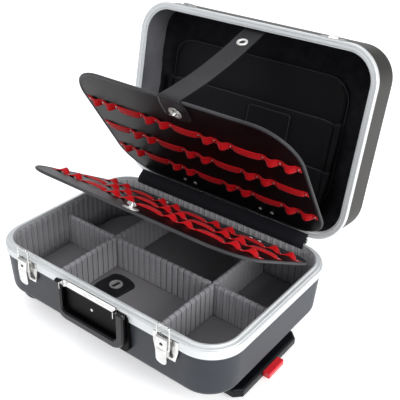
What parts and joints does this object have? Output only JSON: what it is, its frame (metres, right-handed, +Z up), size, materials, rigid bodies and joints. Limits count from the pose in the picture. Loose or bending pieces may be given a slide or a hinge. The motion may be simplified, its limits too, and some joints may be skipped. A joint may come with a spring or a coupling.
{
  "type": "wheeled tool case",
  "caption": "Hard-shell tool case with an aluminium rim, draw latches, a hinged lid, folding tool boards, a divided tray and a pull-out trolley bar.",
  "frame": {"origin": "middle of the bounding box's bottom, on the floor that the wheels and feet stand on", "axes": "+X along the case's length towards the pull-out grip, -Y towards the latches and carry handle, +Z up"},
  "size_m": [0.483, 0.4968, 0.4843],
  "materials": {
    "shell_grey": "fine moulded grain",
    "lid_grey": "fine moulded grain",
    "rim_aluminium": "satin anodised",
    "lining_grey": "ribbed felt",
    "pad_grey": "felt",
    "lid_lining_black": "matt",
    "pocket_black": "fine grain",
    "chrome": "bright",
    "steel": "brushed",
    "board_black": "grained sheet",
    "edging_grey": "matt",
    "ribbon_red": "woven elastic",
    "strap_black": "fine grain",
    "grip_black": "satin",
    "trolley_black": "moulded",
    "button_red": "satin",
    "tube_aluminium": "satin",
    "tyre_black": "matt",
    "foot_rubber": "matt"
  },
  "bodies": {
    "base": {"base_shell": "shell_grey", "base_frame": "rim_aluminium", "base_lining": "lining_grey", "floor_pad": "pad_grey", "divider_long_left": "lining_grey", "divider_long_right": "lining_grey", "hinge_base_leaf": "chrome", "hinge_pin": "steel", "floor_strap": "strap_black", "floor_strap_eyelet": "chrome", "handle_dish": "trolley_black", "handle_bracket": "chrome", "divider_short_left": "lining_grey", "divider_short_middle": "lining_grey", "divider_short_right": "lining_grey", "hinge_strip": "strap_black", "board_lower_strip": "strap_black", "wheel_block": "trolley_black", "wheel_axle": "steel", "end_bracket": "trolley_black", "feet": "foot_rubber", "outer_tubes": "tube_aluminium", "latch_plate_left": "chrome", "latch_plate_right": "chrome"},
    "lid": {"lid_shell": "lid_grey", "lid_frame": "rim_aluminium", "lid_lining": "lid_lining_black", "card_holder": "pocket_black", "hinge_lid_leaf": "chrome", "pocket_back": "pocket_black", "pocket_middle": "pocket_black", "pocket_front": "pocket_black", "catch_left": "chrome", "catch_right": "chrome", "lid_strap": "strap_black"},
    "board_upper": {"board_upper": "board_black", "board_upper_edging": "edging_grey", "board_upper_fittings": "chrome", "board_upper_loops": "ribbon_red"},
    "board_lower": {"board_lower": "board_black", "board_lower_edging": "edging_grey", "board_lower_fittings": "chrome", "board_lower_loops": "ribbon_red"},
    "turn_upper": {"board_upper_turn_button": "chrome"},
    "turn_lower": {"board_lower_turn_button": "chrome"},
    "latch_left": {"latch_lever_left": "chrome"},
    "latch_right": {"latch_lever_right": "chrome"},
    "bail_left": {"latch_bail_left": "chrome"},
    "bail_right": {"latch_bail_right": "chrome"},
    "carry_handle": {"handle_grip": "grip_black"},
    "trolley_stage": {"middle_tubes": "tube_aluminium", "stage_yoke": "trolley_black"},
    "trolley_pull": {"inner_tubes": "tube_aluminium", "trolley_grip": "trolley_black"},
    "release_button": {"trolley_button": "button_red"},
    "wheel_front": {"wheel_hub_front": "trolley_black", "wheel_tyre_front": "tyre_black"},
    "wheel_rear": {"wheel_hub_rear": "trolley_black", "wheel_tyre_rear": "tyre_black"}
  },
  "joints": [
    {"name": "lid_hinge", "type": "hinge", "parent": "base", "child": "lid", "pos_m": [0.0015, 0.10429, 0.14875], "axis": [1, 0, 0], "range_deg": [0, 100.5], "deforming": ["hinge_strip"]},
    {"name": "board_upper_fold", "type": "hinge", "parent": "lid", "child": "board_upper", "pos_m": [0.0015, 0.12008, 0.16128], "axis": [1, 0, 0], "range_deg": [-43.6, 0], "deforming": ["lid_strap"]},
    {"name": "board_lower_fold", "type": "hinge", "parent": "base", "child": "board_lower", "pos_m": [0.0015, 0.08159, 0.1265], "axis": [1, 0, 0], "range_deg": [0, 30.15], "deforming": ["board_lower_strip"]},
    {"name": "turn_upper", "type": "hinge", "parent": "board_upper", "child": "turn_upper", "pos_m": [0.0065, -0.04025, 0.38563], "axis": [0, -0.8377, -0.5461], "range_deg": [0, 90]},
    {"name": "turn_lower", "type": "hinge", "parent": "board_lower", "child": "turn_lower", "pos_m": [0.015, -0.15924, 0.26638], "axis": [0, 0.5023, 0.8647], "range_deg": [0, 90]},
    {"name": "latch_left_lift", "type": "hinge", "parent": "base", "child": "latch_left", "pos_m": [-0.1455, -0.24041, 0.147], "axis": [-1, 0, 0], "range_deg": [0, 75]},
    {"name": "bail_left_swing", "type": "hinge", "parent": "latch_left", "child": "bail_left", "pos_m": [-0.1455, -0.24182, 0.129], "axis": [1, 0, 0], "range_deg": [0, 90]},
    {"name": "latch_right_lift", "type": "hinge", "parent": "base", "child": "latch_right", "pos_m": [0.1485, -0.24041, 0.147], "axis": [-1, 0, 0], "range_deg": [0, 75]},
    {"name": "bail_right_swing", "type": "hinge", "parent": "latch_right", "child": "bail_right", "pos_m": [0.1485, -0.24182, 0.129], "axis": [1, 0, 0], "range_deg": [0, 90]},
    {"name": "handle_swing", "type": "hinge", "parent": "base", "child": "carry_handle", "pos_m": [0.0015, -0.24141, 0.143], "axis": [-1, 0, 0], "range_deg": [0, 95]},
    {"name": "stage_slide", "type": "slide", "parent": "base", "child": "trolley_stage", "axis": [1, 0, 0], "range_m": [0, 0.29]},
    {"name": "pull_slide", "type": "slide", "parent": "trolley_stage", "child": "trolley_pull", "axis": [1, 0, 0], "range_m": [0, 0.27]},
    {"name": "button_press", "type": "slide", "parent": "trolley_pull", "child": "release_button", "axis": [-1, 0, 0], "range_m": [0, 0.004], "stiffness_N_per_m": 800},
    {"name": "wheel_front_spin", "type": "hinge", "parent": "base", "child": "wheel_front", "pos_m": [-0.2165, -0.17342, 0.025], "axis": [0, 1, 0], "continuous": true},
    {"name": "wheel_rear_spin", "type": "hinge", "parent": "base", "child": "wheel_rear", "pos_m": [-0.2165, 0.03658, 0.025], "axis": [0, 1, 0], "continuous": true}
  ],
  "couplings": [
    {"joint": "board_upper_fold", "follows": "lid_hinge", "ratio": -0.43383},
    {"joint": "board_lower_fold", "follows": "lid_hinge", "ratio": 0.3},
    {"joint": "bail_left_swing", "follows": "latch_left_lift", "ratio": 1.2},
    {"joint": "bail_right_swing", "follows": "latch_right_lift", "ratio": 1.2}
  ]
}
